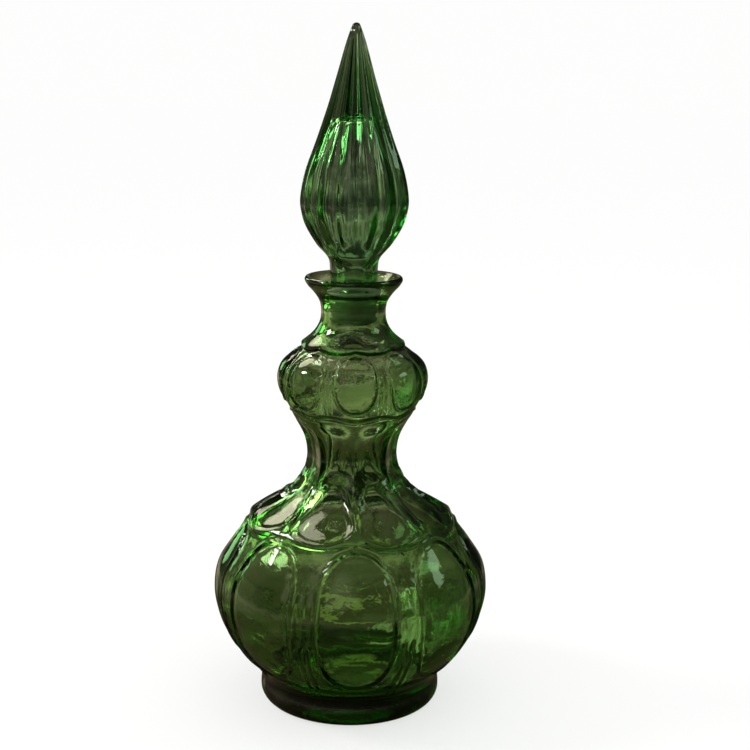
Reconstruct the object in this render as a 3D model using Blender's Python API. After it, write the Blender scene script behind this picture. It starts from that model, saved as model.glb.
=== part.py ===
# Blown glass decanter with a fluted spire stopper, sealed by a ringed plastic sleeve.
# Metres, +Z up. The origin is the middle of the foot's bearing ring, on the surface it stands on.

import math

import bmesh
import bpy

MM = 0.001
MERGE_DISTANCE = 0.00001

# Driving dimensions in millimetres: radii from the vertical axis, heights from the bearing ring.
TOTAL_HEIGHT = 255.0
PANELS = 8                  # oval bosses, cape lobes and waist flutes round the bottle
STOPPER_FLUTES = 16

FOOT_RADIUS = 34.5
BEARING_INNER, BEARING_OUTER = 25.5, 30.8
PUSH_UP = 3.4               # height of the hollow under the foot
BULB_RADIUS, BULB_HEIGHT = 52.3, 45.5
CAPE_RADIUS, CAPE_HEIGHT = 40.0, 71.2
WAIST_RADIUS, WAIST_HEIGHT = 17.3, 97.2
SMALL_BULB_RADIUS, SMALL_BULB_HEIGHT = 28.3, 126.6
COLLAR_RADIUS, COLLAR_HEIGHT = 19.3, 139.2
NECK_RADIUS, NECK_HEIGHT = 12.0, 151.3
LIP_RADIUS, LIP_HEIGHT = 18.3, 164.3

BORE_RADIUS = 9.3
SEAT_RADIUS, SEAT_HEIGHT = 10.9, 158.2
WALL = 2.6                  # glass thickness in the bulbs
FLOOR_HEIGHT = 9.5          # inside of the base

BOSS_RISE = 1.2             # how far an oval boss stands out of the bulb
BOSS_HALF_ANGLE = math.radians(17.5)
BOSS_HALF_HEIGHT = 26.0
SMALL_BOSS_HALF_HEIGHT = 10.8
HEM_STEP = 1.3              # how far the cape's edge stands out of the shoulder
HEM_SWING = 2.45            # half the height between the cape's lobes and its cusps
WAIST_FLUTE_DEPTH = 1.1

GAP = 0.3                   # between pieces that rest on each other
SHANK_RADIUS = 8.85
PLUG_RADIUS, PLUG_BOTTOM = 6.9, 146.0
PLUG_HOLE_RADIUS = 4.6
SPIRE_RADIUS, SPIRE_HEIGHT = 20.0, 192.3
SPIRE_HOLLOW_TOP = 220.5
STOPPER_FLUTE_DEPTH = 0.9

FLANGE_RADIUS, FLANGE_THICKNESS = 10.2, 1.3
SLEEVE_RADIUS = 8.4
RING_PITCH, RINGS = 3.0, 4

BOTTLE_STEPS = 48           # six to a panel keeps cusps and lobes on vertices
STOPPER_STEPS = 32          # two to a flute
SLEEVE_STEPS = 24


# ---------------------------------------------------------------- outlines and turning

def curve(stations, steps=3):
    """Points on a smooth curve through (radius, height) stations, with steps to each gap."""
    first, last = stations[0], stations[-1]
    padded = [first] + list(stations) + [last]
    points = []
    for before, start, end, after in zip(padded, padded[1:], padded[2:], padded[3:]):
        for step in range(steps):
            t = step / steps
            points.append(tuple(
                0.5 * (2 * b + (c - a) * t + (2 * a - 5 * b + 4 * c - d) * t ** 2
                       + (3 * b - a - 3 * c + d) * t ** 3)
                for a, b, c, d in zip(before, start, end, after)))
    return points + [last]


def spin_outline(bm, outline, steps):
    """Turn a list of (radius, height) points in millimetres about the Z axis."""
    verts = [bm.verts.new((radius * MM, 0.0, height * MM)) for radius, height in outline]
    edges = [bm.edges.new(pair) for pair in zip(verts, verts[1:])]
    bmesh.ops.spin(bm, geom=verts + edges, cent=(0, 0, 0), axis=(0, 0, 1), dvec=(0, 0, 0),
                   angle=math.tau, steps=steps, use_merge=True)


def press_pattern(bm, shape):
    """Move every vertex to where shape(radius, height, angle), in millimetres, puts it."""
    for vert in bm.verts:
        radius, angle = math.hypot(vert.co.x, vert.co.y), math.atan2(vert.co.y, vert.co.x)
        new_radius, new_height = shape(radius / MM, vert.co.z / MM, angle)
        vert.co = (new_radius * MM * math.cos(angle), new_radius * MM * math.sin(angle), new_height * MM)


def hollow_body(outside, shape, inside, steps):
    """A pressed outside and a smooth inside that starts where the outside ends, at the open end."""
    bm = bmesh.new()
    spin_outline(bm, outside, steps)
    press_pattern(bm, shape)
    spin_outline(bm, [outside[-1]] + inside, steps)
    return bm


def swell(height, middle, reach):
    """1 at the middle height, falling smoothly to 0 at the reach above and below."""
    offset = abs(height - middle) / reach
    return 0.5 + 0.5 * math.cos(math.pi * offset) if offset < 1 else 0.0


# ---------------------------------------------------------------- bottle

def bottle_outside():
    underside = [(0, PUSH_UP), (BEARING_INNER * 0.55, PUSH_UP * 0.85), (BEARING_INNER - 1.5, 0.6),
                 (BEARING_INNER, 0)]
    foot = curve([(BEARING_OUTER, 0), (33.9, 2.0), (FOOT_RADIUS, 4.6), (34.1, 8.0)], steps=2)
    bulb = curve([(34.1, 8.0), (36.0, 13.8), (42.3, 21.2), (47.7, 30.0), (50.8, 39.5),
                  (BULB_RADIUS - BOSS_RISE, BULB_HEIGHT), (50.1, 53.5), (46.0, 60.8), (41.7, 66.6),
                  (CAPE_RADIUS - HEM_STEP, CAPE_HEIGHT - 0.9)], steps=2)
    cape = curve([(CAPE_RADIUS - 0.5, CAPE_HEIGHT - 0.5), (CAPE_RADIUS - 0.1, CAPE_HEIGHT + 0.5),
                  (36.4, 74.3), (29.6, 78.5), (22.3, 84.2), (18.6, 89.7), (WAIST_RADIUS, WAIST_HEIGHT),
                  (18.3, 104.2), (22.2, 112.4)], steps=2)
    small_bulb = curve([(22.2, 112.4), (26.2, 120.0), (SMALL_BULB_RADIUS - BOSS_RISE, SMALL_BULB_HEIGHT),
                        (24.6, 133.0), (COLLAR_RADIUS - 1.0, COLLAR_HEIGHT - 1.8)], steps=2)
    neck = curve([(COLLAR_RADIUS, COLLAR_HEIGHT - 1.3), (COLLAR_RADIUS, COLLAR_HEIGHT), (15.2, 143.0),
                  (12.7, 147.2), (NECK_RADIUS, NECK_HEIGHT), (13.4, 156.5), (17.2, 160.8),
                  (LIP_RADIUS, LIP_HEIGHT - 1.4), (LIP_RADIUS - 1.4, LIP_HEIGHT)], steps=2)
    return underside + foot + bulb[1:] + cape + small_bulb[1:] + neck


def bottle_inside():
    mouth = [(LIP_RADIUS - 2.6, LIP_HEIGHT - 0.5), (12.6, 160.6), (SEAT_RADIUS, SEAT_HEIGHT)]
    small_bulb = curve([(BORE_RADIUS, SEAT_HEIGHT), (BORE_RADIUS, 145.6), (12.2, 141.8), (18.8, 137.6),
                        (SMALL_BULB_RADIUS - BOSS_RISE - WALL, SMALL_BULB_HEIGHT), (22.0, 117.2),
                        (16.4, 109.0), (WAIST_RADIUS - WAIST_FLUTE_DEPTH - WALL, WAIST_HEIGHT)], steps=2)
    bulb = curve([small_bulb[-1], (16.4, 86.6), (24.0, 79.5), (35.0, 71.5), (43.6, 60.8),
                  (BULB_RADIUS - BOSS_RISE - WALL, BULB_HEIGHT), (45.2, 30.0), (37.8, 18.6),
                  (27.0, 12.0), (0, FLOOR_HEIGHT)], steps=2)
    return mouth + small_bulb + bulb[1:]


def bottle_shape(radius, height, angle):
    """The mould's relief: bosses on both bulbs, the cape's scalloped hem and the fluted waist."""
    from_boss = (angle + math.pi / PANELS) % (math.tau / PANELS) - math.pi / PANELS
    lobe = abs(math.sin(angle * PANELS / 2))                 # 0 at a cusp, 1 in the middle of a lobe

    rise = 0.0
    for middle, reach in ((BULB_HEIGHT, BOSS_HALF_HEIGHT), (SMALL_BULB_HEIGHT, SMALL_BOSS_HALF_HEIGHT)):
        inside = 1 - (from_boss / BOSS_HALF_ANGLE) ** 2 - ((height - middle) / reach) ** 2
        rise += BOSS_RISE * math.sqrt(max(0.0, inside))

    flute = WAIST_FLUTE_DEPTH * lobe * swell(height, WAIST_HEIGHT, 24)
    lift = HEM_SWING * (1 - 2 * lobe) * swell(height, CAPE_HEIGHT, 11)
    return radius + rise - flute - 0.77 * lift, height + lift


def make_bottle():
    body = hollow_body(bottle_outside(), bottle_shape, bottle_inside(), BOTTLE_STEPS)
    return add_object("bottle", body, GREEN_GLASS)


# ---------------------------------------------------------------- stopper

def stopper_outside():
    shoulder = shoulder_height()
    plug = [(SHANK_RADIUS, shoulder + 0.8), (SHANK_RADIUS - 0.7, shoulder), (PLUG_RADIUS, shoulder),
            (PLUG_RADIUS, PLUG_BOTTOM + 0.8), (PLUG_RADIUS - 0.6, PLUG_BOTTOM)]
    spire = curve([(1.2, TOTAL_HEIGHT - 0.5), (2.2, 252.6), (4.0, 247.2), (7.5, 235.4), (11.1, 223.7),
                   (14.9, 212.3), (18.4, 202.1), (SPIRE_RADIUS, SPIRE_HEIGHT), (17.4, 182.0), (13.3, 175.5),
                   (9.4, 170.7), (SHANK_RADIUS, 166.8)], steps=2)
    return [(0, TOTAL_HEIGHT)] + spire + plug


def stopper_inside():
    hollow = curve([(PLUG_HOLE_RADIUS, 168.0), (8.6, 175.0), (12.8, 181.6),
                    (SPIRE_RADIUS - 4.0, SPIRE_HEIGHT), (13.2, 205.8), (8.8, 216.2),
                    (6.4, SPIRE_HOLLOW_TOP - 0.5)], steps=2)
    return [(PLUG_HOLE_RADIUS, PLUG_BOTTOM)] + hollow + [(0, SPIRE_HOLLOW_TOP)]


def stopper_shape(radius, height, angle):
    """Narrow ridges between hollow flutes, deepest at the belly and fading out above the shank."""
    depth = STOPPER_FLUTE_DEPTH * min(1.0, radius / SPIRE_RADIUS * 1.4) if height > 172 else 0.0
    return radius - depth * abs(math.sin(angle * STOPPER_FLUTES / 2)), height


def make_stopper():
    body = hollow_body(stopper_outside(), stopper_shape, stopper_inside(), STOPPER_STEPS)
    return add_object("stopper", body, GREEN_GLASS)


# ---------------------------------------------------------------- sealing sleeve

def shoulder_height():
    """Underside of the stopper's shank, which sits on the sleeve's flange."""
    return SEAT_HEIGHT + GAP + FLANGE_THICKNESS + GAP


def sleeve_outline():
    """A tube with a flange at its top and soft rings that fill the bore, as a closed loop."""
    hole, ring = PLUG_RADIUS + GAP, BORE_RADIUS - GAP
    bottom, flange = PLUG_BOTTOM + 1.0, SEAT_HEIGHT + GAP
    outside = [(SLEEVE_RADIUS - 0.4, bottom)]
    for index in range(RINGS):
        root = bottom + 0.6 + index * RING_PITCH
        outside += [(SLEEVE_RADIUS, root), (ring, root + 0.9), (ring, root + 1.3),
                    (SLEEVE_RADIUS, root + 1.5)]
    outside += [(SLEEVE_RADIUS, flange), (FLANGE_RADIUS, flange), (FLANGE_RADIUS, flange + FLANGE_THICKNESS)]
    return [(hole, bottom)] + outside + [(hole, flange + FLANGE_THICKNESS), (hole, bottom)]


def make_sleeve():
    bm = bmesh.new()
    spin_outline(bm, sleeve_outline(), SLEEVE_STEPS)
    return add_object("sealing_sleeve", bm, NATURAL_PLASTIC)


# ---------------------------------------------------------------- objects and materials

GREEN_GLASS = {"name": "green_glass", "color": (0.05, 0.22, 0.06, 1), "roughness": 0.04, "clear": 1.0}
NATURAL_PLASTIC = {"name": "natural_plastic", "color": (0.78, 0.8, 0.72, 1), "roughness": 0.4, "clear": 0.0}


def add_object(name, bm, finish):
    bmesh.ops.remove_doubles(bm, verts=bm.verts, dist=MERGE_DISTANCE)
    bmesh.ops.recalc_face_normals(bm, faces=bm.faces)
    bmesh.ops.triangulate(bm, faces=bm.faces)
    mesh = bpy.data.meshes.new(name)
    bm.to_mesh(mesh)
    bm.free()
    mesh.shade_smooth()
    mesh.set_sharp_from_angle(angle=math.radians(35))

    material = bpy.data.materials.new(name + "_" + finish["name"])
    material.use_nodes = True
    shader = material.node_tree.nodes["Principled BSDF"]
    shader.inputs["Base Color"].default_value = finish["color"]
    shader.inputs["Roughness"].default_value = finish["roughness"]
    shader.inputs["Metallic"].default_value = 0.0
    shader.inputs["Transmission Weight"].default_value = finish["clear"]
    mesh.materials.append(material)

    piece = bpy.data.objects.new(name, mesh)
    bpy.context.scene.collection.objects.link(piece)
    return piece


for leftover in list(bpy.data.objects):
    bpy.data.objects.remove(leftover, do_unlink=True)

make_bottle()
make_stopper()
make_sleeve()
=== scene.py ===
import math

import bpy
import numpy as np
from mathutils import Matrix, Vector, noise


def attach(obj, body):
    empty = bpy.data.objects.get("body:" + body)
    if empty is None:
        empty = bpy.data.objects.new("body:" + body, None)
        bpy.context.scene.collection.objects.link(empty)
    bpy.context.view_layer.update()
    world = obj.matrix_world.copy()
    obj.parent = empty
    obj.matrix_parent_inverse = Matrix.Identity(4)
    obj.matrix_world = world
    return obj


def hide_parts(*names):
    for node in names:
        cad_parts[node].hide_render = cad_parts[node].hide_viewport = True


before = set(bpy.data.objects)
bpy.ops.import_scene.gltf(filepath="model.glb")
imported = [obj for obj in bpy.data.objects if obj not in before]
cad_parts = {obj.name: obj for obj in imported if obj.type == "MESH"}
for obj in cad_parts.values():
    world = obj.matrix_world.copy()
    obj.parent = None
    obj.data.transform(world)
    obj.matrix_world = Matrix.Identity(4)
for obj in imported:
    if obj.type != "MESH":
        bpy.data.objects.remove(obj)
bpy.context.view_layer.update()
bpy.ops.object.select_all(action="DESELECT")
print("frame loaded:", sorted(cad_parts))

mm = 0.001


# ---- shared shaping helpers ----

def smoothLine(stations, perGap=20):
    # Catmull-Rom through (radius, height) stations
    points = np.array(stations, float)
    padded = np.vstack([2 * points[0] - points[1], points, 2 * points[-1] - points[-2]])
    line = []
    for a, b, c, d in zip(padded[:-3], padded[1:-2], padded[2:-1], padded[3:]):
        for t in np.linspace(0, 1, perGap, endpoint=False):
            line.append(0.5 * (2 * b + (c - a) * t + (2 * a - 5 * b + 4 * c - d) * t ** 2
                               + (3 * b - a - 3 * c + d) * t ** 3))
    return np.array(line + [points[-1]])


def respace(line, spacing):
    line = np.array(line, float)
    run = np.r_[0, np.cumsum(np.hypot(*np.diff(line, axis=0).T))]
    at = np.linspace(0, run[-1], max(1, round(run[-1] / spacing)) + 1)
    return np.c_[np.interp(at, run, line[:, 0]), np.interp(at, run, line[:, 1])]


def joinLines(*lines):
    joined = [tuple(lines[0][0])]
    for line in lines:
        joined += [tuple(p) for p in line if math.dist(p, joined[-1]) > 0.001]
    return joined


def turnNormalsOut():
    bpy.ops.mesh.select_all(action="SELECT")
    bpy.ops.mesh.normals_make_consistent(inside=False)


def turnOutline(name, outline, steps):
    # one vertex, extruded along the outline and spun round the axis
    bpy.ops.mesh.primitive_plane_add(size=mm)
    turned = bpy.context.object
    turned.name = turned.data.name = name
    bpy.ops.object.mode_set(mode="EDIT")
    bpy.ops.mesh.select_all(action="SELECT")
    bpy.ops.mesh.merge(type="CENTER")
    bpy.ops.transform.translate(value=(outline[0][0] * mm, 0, outline[0][1] * mm))
    for here, there in zip(outline, outline[1:]):
        step = ((there[0] - here[0]) * mm, 0, (there[1] - here[1]) * mm)
        bpy.ops.mesh.extrude_vertices_move(TRANSFORM_OT_translate={"value": step})
    bpy.ops.mesh.select_all(action="SELECT")
    bpy.ops.mesh.spin(steps=steps, angle=math.tau, center=(0, 0, 0), axis=(0, 0, 1))
    bpy.ops.mesh.select_all(action="SELECT")
    bpy.ops.mesh.remove_doubles(threshold=0.002 * mm)
    bpy.ops.object.mode_set(mode="OBJECT")
    return turned


def pointsOf(piece):
    # where the vertices are, one row each, in millimetres
    points = np.empty(len(piece.data.vertices) * 3)
    piece.data.vertices.foreach_get("co", points)
    return points.reshape(-1, 3) / mm


def pressShape(piece, shape):
    # moves each vertex to where shape(radius, height, angle) puts it
    x, y, height = pointsOf(piece).T
    radius, height, angle = shape(np.hypot(x, y), height, np.arctan2(y, x))
    moved = np.c_[radius * np.cos(angle), radius * np.sin(angle), height] * mm
    piece.data.vertices.foreach_set("co", moved.ravel())
    piece.data.update()


def weldShells(outside, inside, name):
    bpy.ops.object.select_all(action="DESELECT")
    inside.select_set(True)
    outside.select_set(True)
    bpy.context.view_layer.objects.active = outside
    bpy.ops.object.join()
    bpy.ops.object.mode_set(mode="EDIT")
    bpy.ops.mesh.select_all(action="SELECT")
    bpy.ops.mesh.remove_doubles(threshold=0.004 * mm)
    turnNormalsOut()
    bpy.ops.object.mode_set(mode="OBJECT")
    outside.name = outside.data.name = name
    bpy.ops.object.shade_smooth_by_angle(angle=math.radians(50))
    return outside


def swell(value, middle, reach):
    # 1 at the middle, falling smoothly to 0 at the reach on both sides
    offset = np.clip(np.abs(value - middle) / reach, 0, 1)
    return 0.5 + 0.5 * np.cos(np.pi * offset)


def ramp(value, low, high):
    # rises smoothly from 0 at low to 1 at high
    t = np.clip((value - low) / (high - low), 0, 1)
    return t * t * (3 - 2 * t)


def wander(radius, height, angle, size, seed):
    # slow unevenness, -1 to 1, over a surface
    points = np.c_[radius * np.cos(angle), radius * np.sin(angle), height + seed * 37.0] / size
    return np.array([noise.noise(Vector(p)) for p in points])


# ---- bottle ----

bottle = {
    "panels": 8,
    "steps": 304,
    "footTop": 8.3,
    # (radius, height) stations of the pressed outside, between the bosses
    "foot": [(30.5, 0), (32.9, 0.8), (34.3, 2.9), (34.5, 5.4), (34.2, 8.3)],
    "bulb": [(34.2, 8.3), (34.4, 10.9), (37.3, 15.6), (42.4, 20.8), (47.6, 29.6), (50.4, 38.5), (51.1, 45.5),
             (49.7, 53.5), (45.3, 60.8), (41.7, 66.4), (39.8, 70.0), (38.4, 73.0), (36.9, 76.0)],
    "cape": [(42.6, 70.4), (40.7, 72.3), (37.4, 74.6), (33.6, 76.8), (29.2, 79.0), (24.5, 82.0), (20.9, 85.4),
             (18.7, 89.4), (17.45, 93.8), (17.1, 98.0), (18.2, 103.6), (21.4, 110.0), (23.2, 113.9)],
    "ridge": [(23.2, 113.9), (23.8, 114.3), (24.0, 114.9), (23.9, 115.5)],
    "smallBulb": [(23.9, 115.5), (26.0, 119.4), (27.2, 123.2), (27.45, 127.0), (26.3, 130.8), (23.9, 133.6),
                  (20.7, 136.1), (18.2, 138.0)],
    "collar": [(18.2, 138.0), (18.8, 137.9), (19.3, 138.4), (19.4, 139.0), (19.1, 139.6)],
    "neck": [(19.1, 139.6), (15.1, 142.9), (12.6, 146.9), (12.0, 151.0), (12.6, 154.9), (14.8, 158.3),
             (17.4, 161.1), (18.0, 162.2)],
    "lip": [(18.0, 162.2), (18.2, 163.0), (17.8, 163.9), (17.0, 164.2), (16.1, 163.9)],
    "mouth": [(16.1, 163.9), (14.2, 161.7), (12.2, 159.3), (10.9, 158.2), (9.7, 158.1), (9.35, 157.6)],
    "neckInside": [(9.35, 157.6), (9.3, 147.6), (10.3, 143.8), (14.0, 140.2), (19.8, 136.0), (23.4, 131.4),
                   (24.2, 126.2), (22.8, 119.8), (18.9, 112.2), (14.6, 105.0), (12.9, 97.2)],
    "bulbInside": [(12.9, 97.2), (13.7, 91.0), (17.0, 85.0), (23.6, 79.2), (32.4, 72.0), (39.2, 64.6), (44.7, 56.0),
                   (47.2, 45.6), (46.0, 35.2), (41.4, 25.2), (35.0, 17.8), (26.5, 12.9), (15.0, 10.6), (5.0, 9.8),
                   (0, 9.7)],
    # the cape ends in a waving corner, and the short band under it meets the bulb in a crease
    "corner": 74.7,
    "cornerSwing": 2.5,
    "crease": 71.5,
    "creaseSwing": 1.3,
    "creaseFrom": 56,
    "cornerTo": 88,
    "wavePower": 0.75,
    "bandBulge": 0.5,
    "capeSmoothTop": 113.0,
    "capeTop": 113.9,
    "collarHeight": 138.7,
    "collarSwing": 0.55,
    "ridgeHeight": 114.8,
    "ridgeSwing": 0.8,
    # hollow flutes round the waist: depth, and the heights where they start and end
    "waistFlute": 2.0,
    "fluteStart": (87.5, 94),
    "fluteTop": 113.5,
    "fluteFade": 9,
    # how flat a crest stays between two flutes
    "crestSoftness": 0.004,
    # steepest slope that relief is squared to
    "steepest": 1.8,
    # slow and quick unevenness of the blown wall, and of the floor
    "wallWander": 0.5,
    "wallRipple": 0.22,
    "floorWander": 0.5,
    # how much of the waist's flutes shows inside
    "insideFlute": 0.7,
}
halfPitch = math.pi / bottle["panels"]
# ovals are sized along the glass, in millimetres; room is where the mesh may be drawn in, and span where the
# relief may lie
bosses = [
    {"low": 19.4, "high": 70.6, "halfWidth": 14.9, "rise": 1.25, "edge": 4.5, "rimRise": 0.75, "rimHalf": 0.95,
     "groove": 0.42, "inside": 0.75, "room": (9, 13), "roomTop": 71.5, "roomFade": 3, "span": (0, 71.7)},
    {"low": 117.6, "high": 137.2, "halfWidth": 7.9, "rise": 0.85, "edge": 2.6, "rimRise": 0.6, "rimHalf": 0.7,
     "groove": 0.25, "inside": 0.8, "room": (115.6, 118), "roomTop": 138.0, "roomFade": 2, "span": (115.5, 138.3)},
]
bossPower = 2.2
rimDraw = {"pull": 0.66, "reach": 0.21, "power": 3}
# a pair of fine ribs down each strip between the bosses of both bulbs
stripRibs = [
    {"rise": 0.48, "half": 0.7, "at": 1.2, "spread": 0.7, "spreadOver": (12, 50), "start": (10.5, 14), "top": 60,
     "fade": 10},
    {"rise": 0.2, "half": 0.5, "at": 0.85, "spread": 0, "spreadOver": (116, 135), "start": (116, 118), "top": 135,
     "fade": 3},
]
# leaf-shaped hollows on the cape, one under each waist flute, with fine lines (distance, rise) above each
petal = {"low": 77.5, "top": 95, "halfAngle": math.radians(21.2), "reach": 18.5, "depth": 1.6, "edge": 1.3,
         "power": 2.6, "rimAt": 0.1, "rimRise": 0.5, "rimHalf": 0.9, "lineHalf": 0.8,
         "lines": [(2.3, 0.35), (4.2, 0.25)], "lineRoom": 6.5, "shallow": 0.72}


def panelAngle(angle):
    # angle from the middle of the nearest boss
    pitch = 2 * halfPitch
    return (angle + halfPitch) % pitch - halfPitch


def byHeight(*lines):
    line = np.vstack(lines)
    line = line[np.argsort(line[:, 1])]
    return line[:, 1], line[:, 0]


def between(line, low, high):
    return line[(line[:, 1] >= low) & (line[:, 1] <= high)]


bulbLine, capeLine = smoothLine(bottle["bulb"]), smoothLine(bottle["cape"])
upperLines = [smoothLine(bottle[key]) for key in ("smallBulb", "neck")]
bulbHeight, bulbRadius = byHeight(bulbLine)
capeHeight, capeRadius = byHeight(capeLine)
# the outline without the band, the ridge and the collar
profileHeight, profileRadius = byHeight(between(bulbLine, 0, bottle["crease"]),
                                        between(capeLine, bottle["corner"], bottle["capeSmoothTop"]),
                                        between(upperLines[0], 116.2, 136.8), between(upperLines[1], 140.6, 170))
profileRun = np.r_[0, np.cumsum(np.hypot(np.diff(profileHeight), np.diff(profileRadius)))]
# the tiny addition keeps the heights rising where two lines meet
profileLean = np.gradient(profileRadius, profileHeight + np.arange(len(profileHeight)) * 1e-7)


def wallRadius(height):
    return np.interp(height, profileHeight, profileRadius)


def wallRun(height):
    return np.interp(height, profileHeight, profileRun)


def bossPlace(boss, radius, height, fromMiddle):
    # rho is 1 on the boss's outline, and away is the distance outwards from it
    low, high = wallRun(boss["low"]), wallRun(boss["high"])
    halfRun = (high - low) / 2
    u = np.abs(fromMiddle) * radius / boss["halfWidth"]
    v = np.abs(wallRun(height) - (low + high) / 2) / halfRun
    rho = (u ** bossPower + v ** bossPower) ** (1 / bossPower) + 1e-6
    steep = np.hypot((u / rho) ** (bossPower - 1) / boss["halfWidth"], (v / rho) ** (bossPower - 1) / halfRun)
    away = (rho - 1) / np.maximum(steep, 0.02)
    return rho, away


def bossRelief(boss, radius, height, fromMiddle):
    away = bossPlace(boss, radius, height, fromMiddle)[1]
    half = boss["rimHalf"]
    rim = boss["rimRise"] * swell(away, 0, half) ** 0.6
    inward = np.clip(-away - half * 0.6, 0, None)
    grooves = swell(away, -half * 1.25, half * 0.4) + 0.6 * swell(away, half * 1.25, half * 0.4)
    return rim + boss["rise"] * (1 - np.exp(-inward / boss["edge"])) - boss["groove"] * grooves


def lobe(angle):
    # 0 over the middles of the bosses, 1 between them
    return np.abs(np.sin(angle * bottle["panels"] / 2))


def wave(angle):
    # 1 over the middles of the bosses, -1 at the tips of the lobes between them
    return 1 - 2 * lobe(angle) ** bottle["wavePower"]


def cornerAt(angle):
    return bottle["corner"] + bottle["cornerSwing"] * wave(angle)


def creaseAt(angle):
    return bottle["crease"] + bottle["creaseSwing"] * wave(angle)


def waveEdges(radius, height, angle):
    # the cape's corner and crease, the ridge under the small bulb and the collar go up and down round the bottle
    corner, crease = cornerAt(angle), creaseAt(angle)
    band = (height - bottle["crease"]) / (bottle["corner"] - bottle["crease"])
    lowRadius, highRadius = np.interp(crease, bulbHeight, bulbRadius), np.interp(corner, capeHeight, capeRadius)
    highRadius = highRadius - 0.75 * petal["depth"] * lobe(angle)
    onBulb = (height > bottle["footTop"]) & (band <= 0)
    onBand = (band > 0) & (band < 1)
    onCape = (band >= 1) & (height < bottle["capeSmoothTop"])
    lifted = height + (crease - bottle["crease"]) * ramp(height, bottle["creaseFrom"], bottle["crease"])
    radius = np.where(onBulb, np.interp(lifted, bulbHeight, bulbRadius), radius)
    newHeight = np.where(onBulb, lifted, height)
    lowered = height + (corner - bottle["corner"]) * (1 - ramp(height, bottle["corner"], bottle["cornerTo"]))
    radius = np.where(onCape, np.interp(lowered, capeHeight, capeRadius), radius)
    newHeight = np.where(onCape, lowered, newHeight)
    share = np.clip(band, 0, 1)
    bulge = bottle["bandBulge"] * np.sin(np.pi * share) ** 0.7
    radius = np.where(onBand, lowRadius + (highRadius - lowRadius) * share + bulge, radius)
    newHeight = np.where(onBand, crease + (corner - crease) * share, newHeight)

    ridge = -bottle["ridgeSwing"] * np.cos(angle * bottle["panels"]) * swell(height, bottle["ridgeHeight"], 6)
    collar = bottle["collarSwing"] * wave(angle) * swell(height, bottle["collarHeight"], 5)
    shift = ridge + collar
    radius = radius + wallRadius(newHeight + shift) - wallRadius(newHeight)
    return radius, newHeight + shift


def gatherSteps(angle):
    # packs the turned mesh's steps closer round the rims and strips than across the domes
    fromMiddle = panelAngle(angle)
    share = np.interp(np.abs(fromMiddle) / halfPitch, (0, 0.13, 0.40, 0.80, 1), (0, 0.08, 0.52, 0.88, 1))
    return angle - fromMiddle + np.sign(fromMiddle) * share * halfPitch


def drawToRim(boss, base, radius, height, angle):
    # draws the mesh in towards a boss's rim, where the shape turns quickest
    fromMiddle = panelAngle(angle)
    rho = bossPlace(boss, radius, height, fromMiddle)[0]
    room = np.minimum(ramp(boss["roomTop"] - base, 0, boss["roomFade"]), ramp(base, *boss["room"]))
    nearness = np.exp(-(np.abs(rho - 1) / rimDraw["reach"]) ** rimDraw["power"])
    pull = rimDraw["pull"] * room * nearness * (rho - 1) / rho
    run = wallRun(height)
    middleRun = (wallRun(boss["low"]) + wallRun(boss["high"])) / 2
    newHeight = np.interp(middleRun + (run - middleRun) * (1 - pull), profileRun, profileHeight)
    newHeight = np.where(room > 0, newHeight, height)
    return radius + wallRadius(newHeight) - wallRadius(height), newHeight, angle - fromMiddle * pull


def petalRelief(base, radius, height, fromMiddle):
    up = np.clip(wallRun(height) - wallRun(petal["low"]), 0, None) / petal["reach"]
    side = np.abs(halfPitch - np.abs(fromMiddle)) / petal["halfAngle"]
    rho = (side ** petal["power"] + up ** petal["power"]) ** (1 / petal["power"]) + 1e-6
    away = (rho - 1) * np.where(up > side, petal["reach"], petal["halfAngle"] * radius)
    hollow = 1 - np.exp(-np.clip(-away - 0.4, 0, None) / petal["edge"])
    hollow = hollow * (petal["shallow"] + (1 - petal["shallow"]) * ramp(base - bottle["corner"], 0.9, 2.6))
    above = ramp(up, 0.3, 0.6) * ramp(petal["reach"] + petal["lineRoom"] - up * petal["reach"], 0, 2)
    lines = sum(rise * swell(away, at, petal["lineHalf"]) for at, rise in petal["lines"])
    leaf = petal["rimRise"] * swell(away, petal["rimAt"], petal["rimHalf"]) + above * lines
    onCape = (base >= bottle["corner"]) & (height < petal["top"])
    return np.where(onCape, leaf - petal["depth"] * hollow, 0)


def pressOutside(radius, height, angle):
    base = height
    onWall = base > bottle["footTop"]
    angle = np.where(onWall, gatherSteps(angle), angle)
    radius, height = waveEdges(radius, height, angle)
    for boss in bosses:
        radius, height, angle = drawToRim(boss, base, radius, height, angle)

    fromMiddle = panelAngle(angle)
    relief = petalRelief(base, radius, height, fromMiddle)
    for boss in bosses:
        inSpan = (base > boss["span"][0]) & (base < boss["span"][1])
        relief += np.where(inSpan, bossRelief(boss, radius, height, fromMiddle), 0)
    strip = (halfPitch - np.abs(fromMiddle)) * radius
    for rib in stripRibs:
        ribAt = rib["at"] + rib["spread"] * ramp(height, *rib["spreadOver"])
        ends = ramp(height, *rib["start"]) * ramp(rib["top"] - height, 0, rib["fade"])
        relief += rib["rise"] * swell(strip, ribAt, rib["half"]) * ends

    # concave flutes round the waist, meeting in crests over the bosses
    ends = ramp(height, *bottle["fluteStart"]) * ramp(bottle["fluteTop"] - height, 0, bottle["fluteFade"])
    flute = bottle["waistFlute"] * ends * np.sqrt(lobe(angle) ** 2 + bottle["crestSoftness"])
    relief -= np.where(base < bottle["capeTop"], flute, 0)

    # relief stands square to the wall
    lean = np.clip(np.interp(height, profileHeight, profileLean), -bottle["steepest"], bottle["steepest"])
    out = 1 / np.sqrt(1 + lean ** 2)
    relief = np.where(onWall, relief, 0)
    return radius + relief * out, height - relief * out * lean, angle


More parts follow.
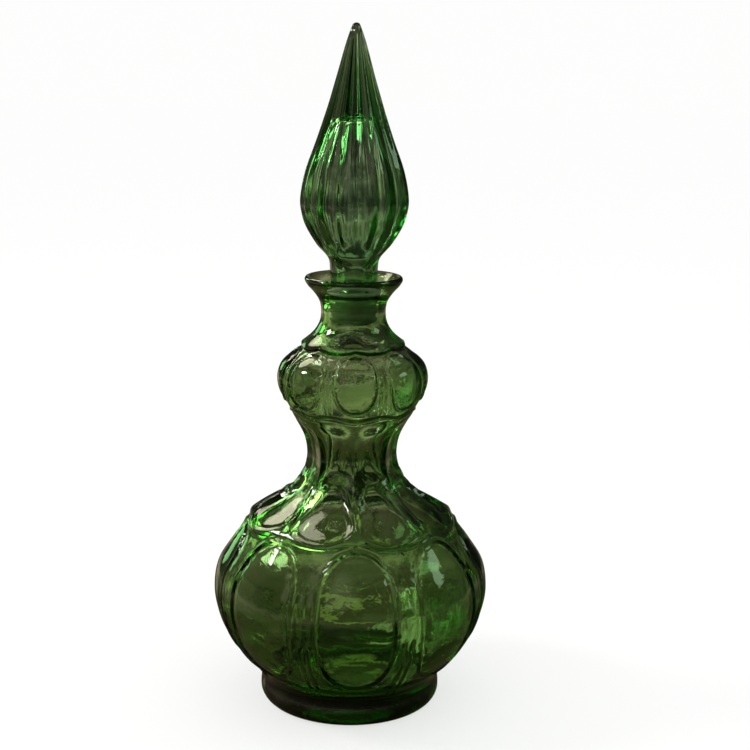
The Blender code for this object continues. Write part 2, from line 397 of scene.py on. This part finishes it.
def pressInside(radius, height, angle):
    # the blown inside follows the mould softly and its thickness wanders
    fromMiddle = panelAngle(angle)
    relief = np.zeros_like(radius)
    for boss in bosses:
        rho = bossPlace(boss, np.maximum(radius, 8), height, fromMiddle)[0]
        relief += boss["inside"] * boss["rise"] * ramp(1.12 - rho, 0, 0.45)
    relief -= bottle["insideFlute"] * lobe(angle) ** 1.3 * swell(height, 95, 22)
    inBody = ramp(146 - height, 0, 8)
    relief += bottle["wallWander"] * wander(radius, height, angle, 17, 1) * inBody
    relief += bottle["wallRipple"] * wander(radius, height, angle, 7, 2) * inBody
    # nothing moves sideways at the axis
    free = np.where(radius > 6, 1, radius / 6)
    floorWave = bottle["floorWander"] * wander(radius, height, angle, 14, 5) * ramp(24 - height, 0, 8)
    return radius + relief * free, height + floorWave * free, angle


def markWall(piece, inner, low=0, high=255, least=0.25, blend=6):
    # how wrinkled a surface is: nothing outside, most on the inside between two heights
    mark = piece.data.attributes.new("innerWall", "FLOAT", "POINT")
    height = pointsOf(piece)[:, 2]
    share = least + (1 - least) * ramp(height, low - blend, low + blend) * ramp(high - height, -blend, blend)
    mark.data.foreach_set("value", (inner * share).astype(np.float32))


def softenCorner(outside):
    # rounds the cape's corner and the crease under it
    bpy.ops.object.mode_set(mode="EDIT")
    bpy.ops.mesh.select_all(action="DESELECT")
    bpy.ops.object.mode_set(mode="OBJECT")
    x, y, height = pointsOf(outside).T
    angle = np.arctan2(y, x)
    chosen = (height > creaseAt(angle) - 0.5) & (height < cornerAt(angle) + 0.5)
    outside.data.vertices.foreach_set("select", chosen)
    bpy.ops.object.mode_set(mode="EDIT")
    bpy.ops.mesh.vertices_smooth(factor=0.4, repeat=1)
    bpy.ops.object.mode_set(mode="OBJECT")


def makeBottle():
    underside = respace(smoothLine([(0, 3.4), (14.0, 2.9), (22.5, 1.2), (25.5, 0)]), 2.8)
    bearing = [(25.5, 0), (28.0, 0), (30.5, 0)]
    bulb = respace(between(bulbLine, bottle["footTop"], bottle["crease"]), 0.8)
    cape = respace(between(capeLine, bottle["corner"], bottle["capeTop"]), 1.25)
    band = respace([bulb[-1], cape[0]], 0.35)
    nearCorner = respace([cape[0], cape[2]], 0.4)
    spacing = {"ridge": 0.3, "smallBulb": 0.7, "collar": 0.3, "neck": 2.0, "lip": 0.5}
    lines = [respace(smoothLine(bottle[key]), gap) for key, gap in spacing.items()]
    outline = joinLines(underside, bearing, respace(smoothLine(bottle["foot"]), 0.8), bulb, band, nearCorner,
                        cape[2:], *lines)
    outside = turnOutline("bottleOutside", outline, bottle["steps"])
    pressShape(outside, pressOutside)
    markWall(outside, 0.0)
    softenCorner(outside)

    inner = joinLines(respace(smoothLine(bottle["mouth"]), 1.0), respace(smoothLine(bottle["neckInside"]), 3.6),
                      respace(smoothLine(bottle["bulbInside"]), 4.0))
    inside = turnOutline("bottleInside", inner, bottle["steps"])
    pressShape(inside, pressInside)
    markWall(inside, 1.0, 14, 58)
    body = weldShells(outside, inside, "glass_bottle")
    print("bottle:", len(body.data.vertices), "vertices", len(outline), "+", len(inner), "rings")
    return body


# ---- stopper ----

stopper = {
    "flutes": 16,
    "steps": 256,
    "spire": [(1.25, 254.5), (1.7, 253.4), (2.5, 251.4), (3.9, 247.2), (7.25, 235.4), (10.8, 223.7), (14.7, 212.3),
              (18.3, 202.1), (20.0, 192.6), (19.4, 186.9), (17.7, 182.0), (13.7, 175.6), (9.8, 171.3), (8.9, 167.8),
              (8.85, 161.0)],
    "plug": [(8.85, 161.0), (8.6, 160.3), (8.1, 160.1), (6.9, 160.1)],
    "plugWall": [(6.9, 160.1), (6.9, 147.0)],
    "plugEnd": [(6.9, 147.0), (6.6, 146.2), (5.75, 146.0), (4.9, 146.2), (4.6, 147.0)],
    "hollow": [(4.6, 147.0), (4.6, 166.0), (5.3, 170.0), (8.7, 175.4), (12.9, 181.6), (15.6, 187.4), (16.0, 193.5),
               (14.6, 202.0), (11.6, 211.0), (8.2, 218.4), (6.8, 220.9), (4.8, 221.9), (2.2, 222.1), (0, 222.0)],
    "fluteDepth": 1.35,
    "fluteStart": (171.5, 181),
    "ridgeSoftness": 0.004,
    "insideFlute": 0.35,
}


def pressStopper(radius, height, angle):
    # narrow ridges between hollow flutes, fading out above the shank
    valley = np.sqrt(np.sin(angle * stopper["flutes"] / 2) ** 2 + stopper["ridgeSoftness"])
    depth = stopper["fluteDepth"] * ramp(height, *stopper["fluteStart"]) * np.clip(radius / 13, 0.25, 1)
    depth *= ramp(254.8 - height, 0, 6)
    uneven = 0.06 * wander(radius, height, angle, 9, 3) * ramp(height, 162, 170)
    return radius - depth * valley + uneven * np.clip(radius / 4, 0, 1), height, angle


def pressHollow(radius, height, angle):
    uneven = 0.5 * wander(radius, height, angle, 12, 4) + 0.2 * wander(radius, height, angle, 5, 8)
    uneven *= ramp(height, 168, 176) * np.clip(radius / 5, 0, 1)
    valley = stopper["insideFlute"] * np.abs(np.sin(angle * stopper["flutes"] / 2)) * swell(height, 192, 26)
    return radius + uneven - valley, height, angle


def makeStopper():
    tip = smoothLine([(0, 255.0), (0.7, 254.9), (1.25, 254.5)])
    outline = joinLines(respace(tip, 0.3), respace(smoothLine(stopper["spire"]), 1.0),
                        respace(smoothLine(stopper["plug"]), 0.5), respace(stopper["plugWall"], 2.5),
                        respace(smoothLine(stopper["plugEnd"]), 0.5))
    outside = turnOutline("stopperOutside", outline, stopper["steps"])
    pressShape(outside, pressStopper)
    markWall(outside, 0.0)
    inner = respace(smoothLine(stopper["hollow"]), 1.8)
    inside = turnOutline("stopperInside", inner, stopper["steps"])
    pressShape(inside, pressHollow)
    markWall(inside, 1.0)
    body = weldShells(outside, inside, "glass_stopper")
    print("stopper:", len(body.data.vertices), "vertices")
    return body


# ---- sealing sleeve ----

sleeve = {"steps": 96, "hole": 7.2, "tube": 8.35, "ring": 9.0, "bottom": 147.0, "top": 159.8, "flange": 10.2,
          "flangeThickness": 1.3, "rings": 4, "pitch": 3.0}


def makeSleeve():
    s = sleeve
    outside = [(s["hole"] + 0.15, s["bottom"]), (s["tube"] - 0.35, s["bottom"]), (s["tube"], s["bottom"] + 0.35)]
    for index in range(s["rings"]):
        root = s["bottom"] + 0.7 + index * s["pitch"]
        fin = smoothLine([(s["tube"], root), (s["ring"] - 0.15, root + 0.75), (s["ring"], root + 1.05),
                          (s["ring"] - 0.15, root + 1.25), (s["tube"], root + 1.45)], 4)
        outside += [tuple(p) for p in fin]
    under = s["top"] - s["flangeThickness"]
    outside += [(s["tube"], under - 0.25), (s["tube"] + 0.25, under), (s["flange"] - 0.3, under),
                (s["flange"], under + 0.3), (s["flange"], s["top"] - 0.35), (s["flange"] - 0.35, s["top"]),
                (s["hole"] + 0.25, s["top"]), (s["hole"], s["top"] - 0.25), (s["hole"], s["bottom"] + 0.15),
                (s["hole"] + 0.15, s["bottom"])]
    piece = turnOutline("plastic_sleeve", outside, s["steps"])
    bpy.ops.object.mode_set(mode="EDIT")
    turnNormalsOut()
    bpy.ops.object.mode_set(mode="OBJECT")
    bpy.ops.object.shade_smooth_by_angle(angle=math.radians(40))
    print("sleeve:", len(piece.data.vertices), "vertices")
    return piece


# ---- materials ----

def addNode(tree, kind, inputs, **settings):
    # a node with its settings, and with a plain value or a link for each input named
    node = tree.nodes.new(kind)
    for key, value in settings.items():
        setattr(node, key, value)
    for key, value in inputs.items():
        if isinstance(value, bpy.types.NodeSocket):
            tree.links.new(value, node.inputs[key])
        else:
            node.inputs[key].default_value = value
    return node


def newMaterial(name):
    material = bpy.data.materials.new(name)
    material.use_nodes = True
    return material, material.node_tree, material.node_tree.nodes["Principled BSDF"]


def newGroup(name, values, results):
    # a shared effect with number inputs and their usual values
    group = bpy.data.node_groups.new(name, "ShaderNodeTree")
    for key, value in values.items():
        socket = group.interface.new_socket(key, in_out="INPUT", socket_type="NodeSocketFloat")
        socket.default_value = value
    for key in results:
        group.interface.new_socket(key, in_out="OUTPUT", socket_type="NodeSocketFloat")
    return group, group.nodes.new("NodeGroupInput").outputs, group.nodes.new("NodeGroupOutput").inputs


def glassSkinGroup():
    # what blown and pressed glass shows on its surface: slow ripple, fine orange peel and handling smears
    values = {"Ripple Size": 9.0, "Peel": 0.25, "Smear High": 0.06}
    group, given, results = newGroup("glassSkin", values, ("Height", "Roughness"))
    place = addNode(group, "ShaderNodeTexCoord", {}).outputs["Object"]
    # sizes are in millimetres
    perMetre = addNode(group, "ShaderNodeMath", {0: 1000.0, 1: given["Ripple Size"]}, operation="DIVIDE")
    ripple = addNode(group, "ShaderNodeTexNoise", {"Vector": place, "Scale": perMetre.outputs[0], "Detail": 1.5})
    peel = addNode(group, "ShaderNodeTexNoise", {"Vector": place, "Scale": 900, "Detail": 1})
    blend = addNode(group, "ShaderNodeMath", {0: peel.outputs["Fac"], 1: given["Peel"], 2: ripple.outputs["Fac"]},
                    operation="MULTIPLY_ADD")
    group.links.new(blend.outputs[0], results["Height"])

    smear = addNode(group, "ShaderNodeTexNoise", {"Vector": place, "Scale": 60, "Detail": 6, "Distortion": 0.8})
    fit = addNode(group, "ShaderNodeMapRange", {"Value": smear.outputs["Fac"], "From Min": 0.5, "From Max": 0.75,
                                                "To Max": given["Smear High"]})
    group.links.new(fit.outputs["Result"], results["Roughness"])
    return group


def creasesGroup():
    # the blown inside's lazy, mostly level wrinkles, in patches, and a few fine seeds in the glass
    values = {"Size": 12.0, "Flatness": 2.5, "Seeds": 0.3}
    group, given, results = newGroup("blownCreases", values, ("Height",))
    place = addNode(group, "ShaderNodeTexCoord", {}).outputs["Object"]
    flatten = addNode(group, "ShaderNodeCombineXYZ", {"X": 1, "Y": 1, "Z": given["Flatness"]})
    stretch = addNode(group, "ShaderNodeVectorMath", {0: place, 1: flatten.outputs[0]}, operation="MULTIPLY")
    perMetre = addNode(group, "ShaderNodeMath", {0: 1000.0, 1: given["Size"]}, operation="DIVIDE")
    wrinkle = addNode(group, "ShaderNodeTexNoise", {"Vector": stretch.outputs[0], "Scale": perMetre.outputs[0],
                                                    "Detail": 0.6, "Distortion": 0.4})
    # a fold lies wherever the noise crosses its middle value
    centre = addNode(group, "ShaderNodeMath", {0: wrinkle.outputs["Fac"], 1: 0.5}, operation="SUBTRACT")
    fold = addNode(group, "ShaderNodeMath", {0: centre.outputs[0]}, operation="ABSOLUTE")
    soften = addNode(group, "ShaderNodeMath", {0: fold.outputs[0], 1: 0.03, 2: 0.05}, operation="SMOOTH_MAX")

    patches = addNode(group, "ShaderNodeTexNoise", {"Vector": place, "Scale": 38, "Detail": 1})
    where = addNode(group, "ShaderNodeMapRange", {"Value": patches.outputs["Fac"], "From Min": 0.42,
                                                  "From Max": 0.6}, interpolation_type="SMOOTHSTEP")
    folded = addNode(group, "ShaderNodeMath", {0: soften.outputs[0], 1: where.outputs["Result"]},
                     operation="MULTIPLY")

    seed = addNode(group, "ShaderNodeTexVoronoi", {"Vector": place, "Scale": 160})
    dot = addNode(group, "ShaderNodeMapRange", {"Value": seed.outputs["Distance"], "From Min": 0.07,
                                                "From Max": 0.0})
    blend = addNode(group, "ShaderNodeMath", {0: dot.outputs["Result"], 1: given["Seeds"], 2: folded.outputs[0]},
                    operation="MULTIPLY_ADD")
    group.links.new(blend.outputs[0], results["Height"])
    return group


glassSkin, blownCreases = glassSkinGroup(), creasesGroup()


def greenGlass(name, look):
    material, tree, shader = newMaterial(name)
    shader.inputs["Base Color"].default_value = (1, 1, 1, 1)
    shader.inputs["IOR"].default_value = 1.52
    shader.inputs["Transmission Weight"].default_value = 1.0
    skin = addNode(tree, "ShaderNodeGroup", {}, node_tree=glassSkin)
    skin.inputs["Ripple Size"].default_value = look["rippleSize"]
    skin.inputs["Peel"].default_value = look["peel"]
    skin.inputs["Smear High"].default_value = look["smear"]
    ripples = addNode(tree, "ShaderNodeBump", {"Height": skin.outputs["Height"], "Distance": look["rippleDepth"]})
    tree.links.new(skin.outputs["Roughness"], shader.inputs["Roughness"])

    creases = addNode(tree, "ShaderNodeGroup", {}, node_tree=blownCreases)
    creases.inputs["Size"].default_value = look["creaseSize"]
    creases.inputs["Flatness"].default_value = look["creaseFlatness"]
    inner = addNode(tree, "ShaderNodeAttribute", {}, attribute_name="innerWall")
    wrinkles = addNode(tree, "ShaderNodeBump", {"Height": creases.outputs["Height"], "Distance": look["creaseDepth"],
                                                "Strength": inner.outputs["Fac"],
                                                "Normal": ripples.outputs["Normal"]})
    tree.links.new(wrinkles.outputs["Normal"], shader.inputs["Normal"])
    absorb = addNode(tree, "ShaderNodeVolumeAbsorption", {"Color": look["passes"], "Density": look["density"]})
    tree.links.new(absorb.outputs["Volume"], tree.nodes["Material Output"].inputs["Volume"])
    return material


# passes is the colour that the glass lets through; sizes are in millimetres and depths in metres
bottleLook = {"passes": (0.38, 0.76, 0.16, 1), "density": 250, "rippleSize": 9.0, "rippleDepth": 0.0002,
              "peel": 0.12, "smear": 0.04, "creaseSize": 21.0, "creaseFlatness": 2.3, "creaseDepth": 0.0009}
stopperLook = {"passes": (0.30, 0.71, 0.30, 1), "density": 235, "rippleSize": 7.0, "rippleDepth": 0.00015,
               "peel": 0.1, "smear": 0.03, "creaseSize": 9.0, "creaseFlatness": 0.35, "creaseDepth": 0.0008}


def sleevePlastic():
    material, tree, shader = newMaterial("naturalPlastic")
    shader.inputs["Transmission Weight"].default_value = 0.78
    shader.inputs["IOR"].default_value = 1.5
    place = addNode(tree, "ShaderNodeTexCoord", {}).outputs["Object"]
    cloud = addNode(tree, "ShaderNodeTexNoise", {"Vector": place, "Scale": 240, "Detail": 4}).outputs["Fac"]
    tint = addNode(tree, "ShaderNodeValToRGB", {"Fac": cloud})
    low, high = tint.color_ramp.elements
    low.position, low.color = 0.35, (0.76, 0.79, 0.7, 1)
    high.position, high.color = 0.7, (0.88, 0.9, 0.84, 1)
    gloss = addNode(tree, "ShaderNodeMapRange", {"Value": cloud, "To Min": 0.32, "To Max": 0.52})
    bump = addNode(tree, "ShaderNodeBump", {"Height": cloud, "Distance": 0.00008})
    tree.links.new(tint.outputs["Color"], shader.inputs["Base Color"])
    tree.links.new(gloss.outputs["Result"], shader.inputs["Roughness"])
    tree.links.new(bump.outputs["Normal"], shader.inputs["Normal"])
    return material


# ---- build the pieces ----

glassBottle = makeBottle()
glassStopper = makeStopper()
plasticSleeve = makeSleeve()
glassBottle.data.materials.append(greenGlass("bottleGlass", bottleLook))
glassStopper.data.materials.append(greenGlass("stopperGlass", stopperLook))
plasticSleeve.data.materials.append(sleevePlastic())

for piece, node, body, slot in ((glassBottle, "bottle", "bottle", "bottle_glass"),
                                (glassStopper, "stopper", "stopper", "stopper_glass"),
                                (plasticSleeve, "sealing_sleeve", "sleeve", "sleeve_plastic")):
    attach(piece, body)
    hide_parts(node)
print("pieces in place")


# ---- camera ----

camera = {"distance": 0.5218, "height": 0.2397, "azimuth": -2.7, "pitch": -12.216, "yaw": -0.915, "roll": 0.8,
          "lens": 68.36}


def addCamera():
    c = camera
    data = bpy.data.cameras.new("camera")
    data.lens = c["lens"]
    data.sensor_width = 36
    data.clip_start = 0.01
    cam = bpy.data.objects.new("camera", data)
    turn = math.radians(c["azimuth"])
    cam.location = (c["distance"] * math.sin(turn), -c["distance"] * math.cos(turn), c["height"])
    spin = Matrix.Rotation(turn + math.radians(c["yaw"]), 4, "Z")
    tilt = Matrix.Rotation(math.radians(90 + c["pitch"]), 4, "X")
    roll = Matrix.Rotation(math.radians(c["roll"]), 4, "Z")
    cam.rotation_euler = (spin @ tilt @ roll).to_euler()
    bpy.context.scene.collection.objects.link(cam)
    bpy.context.scene.camera = cam


addCamera()


# ---- floor, lights and surroundings ----

studio = {
    # half lit by the studio and half bright of itself, so the shadow stays as faint as on a light table
    "floor": {"radius": 8.0, "base": (0.33, 0.33, 0.33, 1), "glow": (1, 1, 0.995, 1), "strength": 0.64,
              "roughness": 0.8},
    "white": (0.985, 0.985, 0.98, 1),
    "bounce": 1.04,
    # brightness and warmth of the room round the glass, from straight down to straight up
    "room": [(-1.0, 0.03, 0.4), (-0.42, 0.075, 0.45), (-0.36, 0.07, 0.5), (-0.32, 0.10, 0.55), (-0.27, 0.12, 0.6),
             (-0.235, 0.17, 0.6), (-0.21, 0.28, 0.6), (-0.17, 0.34, 0.6), (-0.14, 0.15, 0.7), (-0.08, 0.04, 0.7),
             (0.0, 0.03, 0.7), (0.3, 0.03, 0.8), (1.0, 0.06, 0.8)],
    # how far the room's bands stray up and down
    "stray": 0.10,
    # the room's brightness from front to back, and from right to left
    "depth": {"From Min": -0.6, "From Max": 0.5, "To Min": 0.8, "To Max": 1},
    "across": {"From Min": 1, "From Max": -1, "To Min": 0.6, "To Max": 1.6},
    # soft bright patches of the room: direction, inner and outer half-angle, colour
    "glows": [((-0.35, -0.8, 0.55), 15, 26, (0.55, 0.56, 0.36)), ((0, 0.15, 1), 15, 55, (0.13, 0.14, 0.09)),
              ((-1, 0.25, 0.15), 8, 38, (0.26, 0.25, 0.14)), ((1, 0.1, 0.25), 8, 30, (0.1, 0.12, 0.07)),
              ((-0.44, 0.6, 0.6), 11, 14, (5.5, 5.4, 3.8)), ((-0.32, 0.38, 0.87), 7, 10, (4.5, 4.5, 3.2)),
              ((-0.58, 0.8, 0.17), 8, 11, (1.3, 3.2, 1.2)), ((-0.5, 0.85, -0.22), 4, 12, (0.4, 0.38, 0.2)),
              ((0, 1, 0.2), 4, 8, (0.26, 0.3, 0.16))],
    # two lamps, and two small pale cards standing behind the object, which only the glass shows
    "lights": {
        "lamp": {"at": (-0.84, 0.09, 0.73), "size": (0.24, 0.20), "power": 3.4, "tint": (1, 0.98, 0.9),
                 "aim": (0, 0, 0.08)},
        "side": {"at": (0.86, -0.08, 0.66), "size": (0.34, 0.24), "power": 0.9, "tint": (0.62, 1, 0.62),
                 "aim": (0, 0, 0.08)},
        "upperCard": {"at": (0.0, 0.15, 0.074), "size": (0.10, 0.017), "power": 0.0006, "tint": (1, 0.92, 0.6),
                      "aim": (0, 0, 0.125)},
        "lowerCard": {"at": (0.02, 0.3, -0.145), "size": (0.05, 0.045), "power": 0.0014, "tint": (1, 0.92, 0.4),
                      "aim": (0, 0, 0.04)},
    },
}


def addFloor():
    look = studio["floor"]
    bpy.ops.mesh.primitive_circle_add(vertices=96, radius=look["radius"], fill_type="NGON", location=(0, 0, 0))
    floor = bpy.context.object
    floor.name = "floor"
    material, tree, shader = newMaterial("paleFloor")
    shader.inputs["Base Color"].default_value = look["base"]
    shader.inputs["Emission Color"].default_value = look["glow"]
    shader.inputs["Emission Strength"].default_value = look["strength"]
    shader.inputs["Roughness"].default_value = look["roughness"]
    shader.inputs["Specular IOR Level"].default_value = 0
    floor.data.materials.append(material)
    floor.visible_transmission = False
    floor.visible_glossy = False


def addLight(name, spec):
    data = bpy.data.lights.new(name, "AREA")
    data.shape = "RECTANGLE"
    data.size, data.size_y = spec["size"]
    data.energy = spec["power"]
    data.color = spec["tint"]
    data.cycles.cast_shadow = False
    light = bpy.data.objects.new(name, data)
    light.location = spec["at"]
    light.rotation_euler = (Vector(spec["aim"]) - Vector(spec["at"])).to_track_quat("-Z", "Y").to_euler()
    light.visible_camera = False
    bpy.context.scene.collection.objects.link(light)


def roomColour(tree):
    # a dim warm room with lighter bands and a few soft bright patches
    place = addNode(tree, "ShaderNodeTexCoord", {}).outputs["Generated"]
    split = addNode(tree, "ShaderNodeSeparateXYZ", {0: place})
    clutter = addNode(tree, "ShaderNodeTexNoise", {"Vector": place, "Scale": 3.2, "Detail": 3})
    stray = studio["stray"]
    drift = addNode(tree, "ShaderNodeMath", {0: clutter.outputs["Fac"], 1: stray, 2: split.outputs["Z"]},
                    operation="MULTIPLY_ADD")
    fit = addNode(tree, "ShaderNodeMapRange", {"Value": drift.outputs[0], "From Min": -1 + stray / 2,
                                               "From Max": 1 + stray / 2})
    bands = addNode(tree, "ShaderNodeValToRGB", {"Fac": fit.outputs["Result"]})
    stops = bands.color_ramp.elements
    stops.remove(stops[1])
    for height, level, warmth in studio["room"]:
        stop = stops[0] if height == -1 else stops.new((height + 1) / 2)
        stop.color = (level, level * (0.5 + warmth / 2), level * warmth, 1)

    depth = addNode(tree, "ShaderNodeMapRange", {"Value": split.outputs["Y"], **studio["depth"]})
    across = addNode(tree, "ShaderNodeMapRange", {"Value": split.outputs["X"], **studio["across"]})
    strength = addNode(tree, "ShaderNodeMath", {0: depth.outputs["Result"], 1: across.outputs["Result"]},
                       operation="MULTIPLY")
    total = addNode(tree, "ShaderNodeVectorMath", {}, operation="SCALE")
    tree.links.new(bands.outputs["Color"], total.inputs[0])
    tree.links.new(strength.outputs[0], total.inputs["Scale"])
    for direction, inner, outer, colour in studio["glows"]:
        facing = addNode(tree, "ShaderNodeVectorMath", {0: place, 1: Vector(direction).normalized()},
                         operation="DOT_PRODUCT")
        edge = addNode(tree, "ShaderNodeMapRange",
                       {"Value": facing.outputs["Value"], "From Min": math.cos(math.radians(outer)),
                        "From Max": math.cos(math.radians(inner))}, interpolation_type="SMOOTHSTEP")
        glow = addNode(tree, "ShaderNodeVectorMath", {0: colour, "Scale": edge.outputs["Result"]},
                       operation="SCALE")
        total = addNode(tree, "ShaderNodeVectorMath", {0: total.outputs[0], 1: glow.outputs[0]}, operation="ADD")
    return total.outputs[0]


def addSurroundings():
    # the glass meets the room, while the floor is lit evenly and the backdrop is pale
    world = bpy.data.worlds.new("studio")
    world.use_nodes = True
    world.cycles.sampling_method = "NONE"
    tree = world.node_tree
    room = tree.nodes["Background"]
    tree.links.new(roomColour(tree), room.inputs["Color"])
    pale = addNode(tree, "ShaderNodeBackground", {"Color": studio["white"]})
    bounce = addNode(tree, "ShaderNodeBackground", {"Color": (1, 1, 1, 1), "Strength": studio["bounce"]})
    seen = addNode(tree, "ShaderNodeLightPath", {}).outputs
    onFloor = addNode(tree, "ShaderNodeMixShader", {0: seen["Is Diffuse Ray"], 1: room.outputs[0],
                                                    2: bounce.outputs[0]})
    toCamera = addNode(tree, "ShaderNodeMixShader", {0: seen["Is Camera Ray"], 1: onFloor.outputs[0],
                                                     2: pale.outputs[0]})
    tree.links.new(toCamera.outputs[0], tree.nodes["World Output"].inputs["Surface"])
    bpy.context.scene.world = world


addFloor()
for name, spec in studio["lights"].items():
    addLight(name, spec)
addSurroundings()

scene = bpy.context.scene
scene.view_settings.view_transform = "Standard"
scene.cycles.max_bounces = 24
scene.cycles.transmission_bounces = 24
scene.cycles.glossy_bounces = 8
